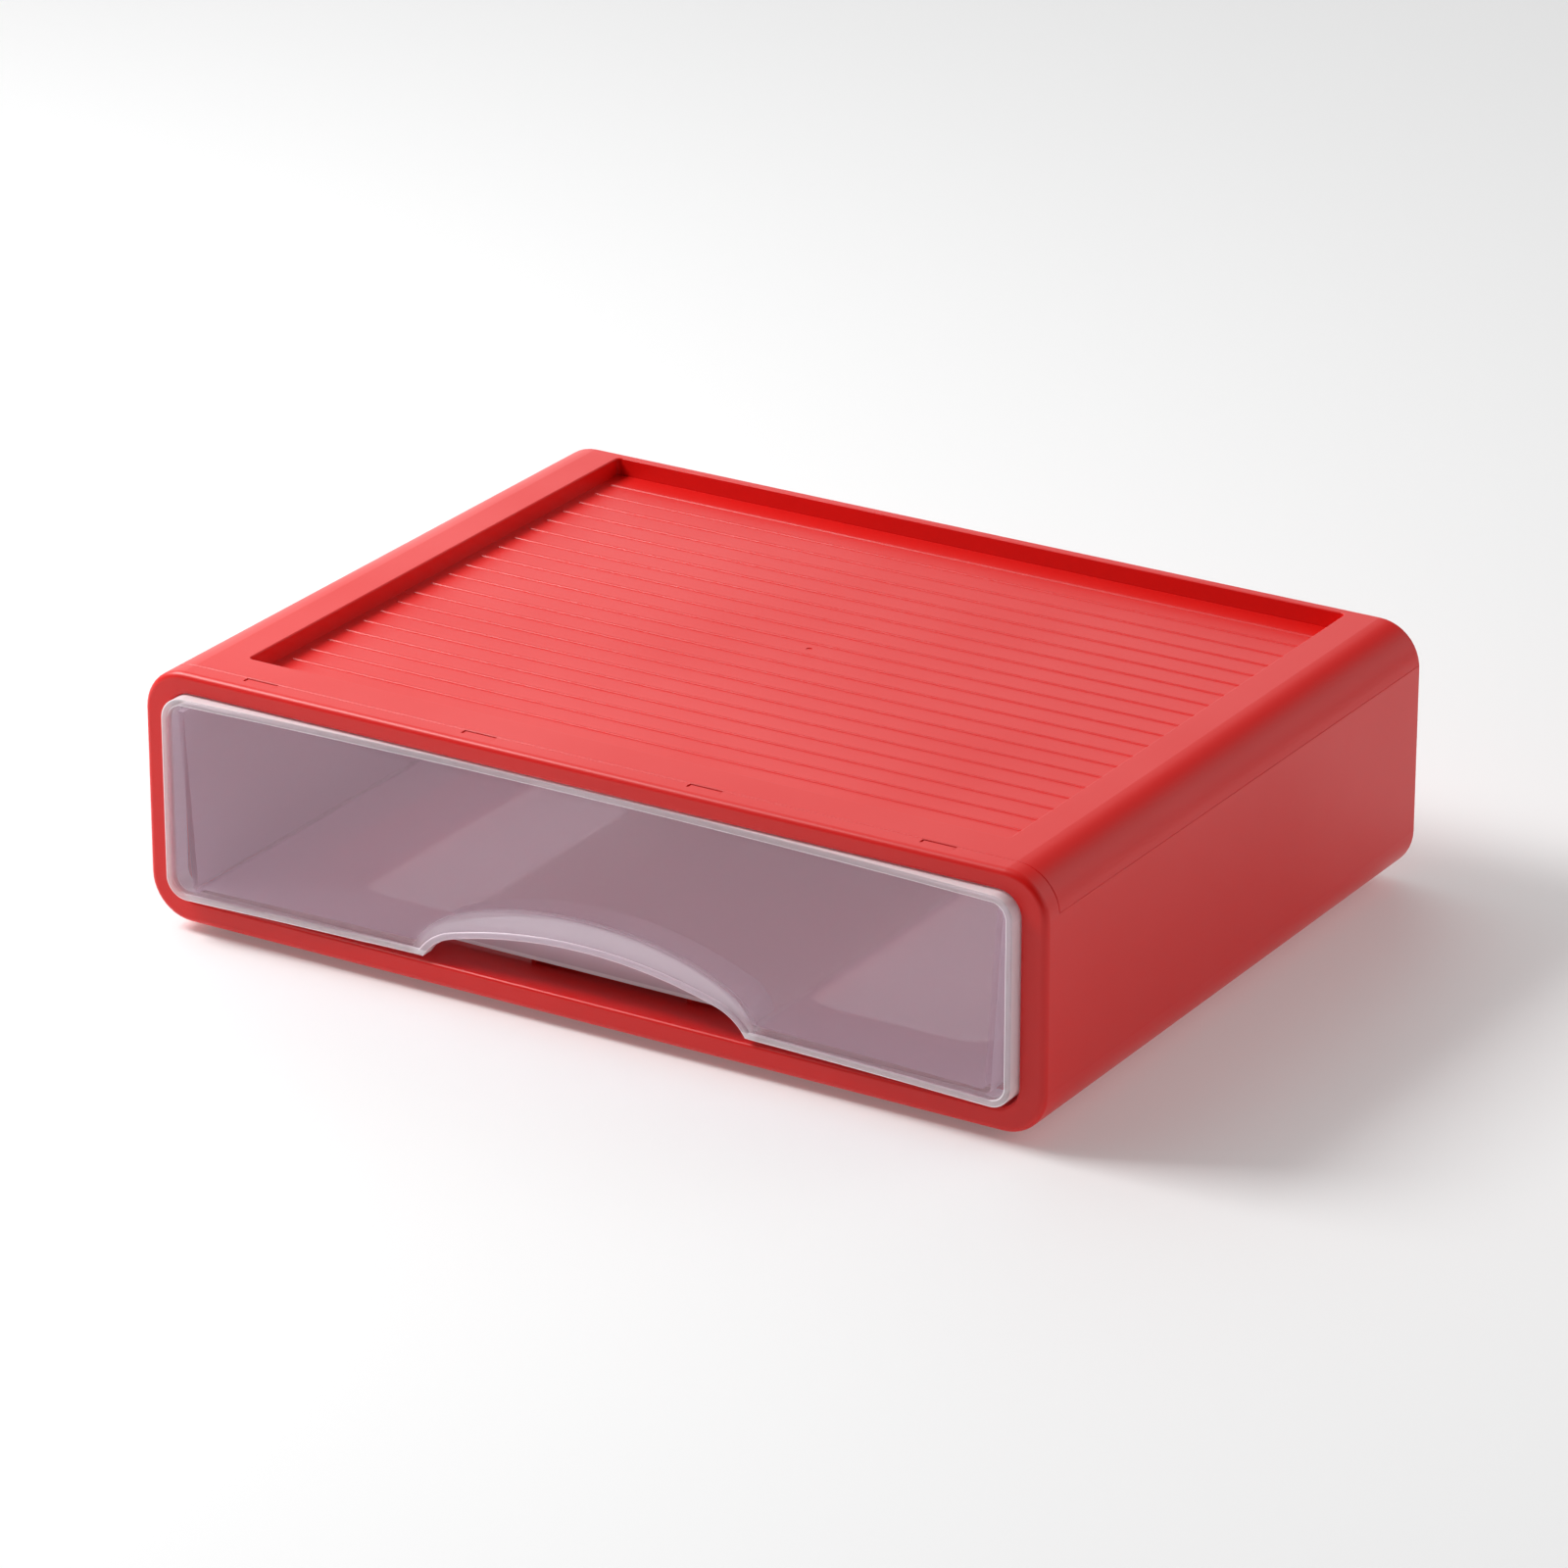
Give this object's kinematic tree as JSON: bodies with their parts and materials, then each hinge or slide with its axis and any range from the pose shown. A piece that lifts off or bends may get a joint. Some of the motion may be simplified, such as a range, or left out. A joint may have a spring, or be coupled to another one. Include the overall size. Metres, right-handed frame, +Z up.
{
  "type": "stackable drawer box",
  "caption": "Low stackable desk drawer box: a rounded case with a ribbed sunk top, and a translucent drawer with an arched finger pull.",
  "frame": {"origin": "centre of the box's footprint, on the surface that the feet stand on", "axes": "+X to the right seen from the front, +Y to the back, +Z up; the drawer slides out along -Y"},
  "size_m": [0.36, 0.27, 0.098],
  "materials": {
    "red_plastic": "satin gloss",
    "clear_plastic": "milky translucent, smooth"
  },
  "bodies": {
    "case": {"lower_case": "red_plastic", "top_cover": "red_plastic"},
    "drawer": {"drawer": "clear_plastic"}
  },
  "joints": [
    {"name": "drawer_slide", "type": "slide", "parent": "case", "child": "drawer", "axis": [0, -1, 0], "range_m": [0, 0.19]}
  ]
}
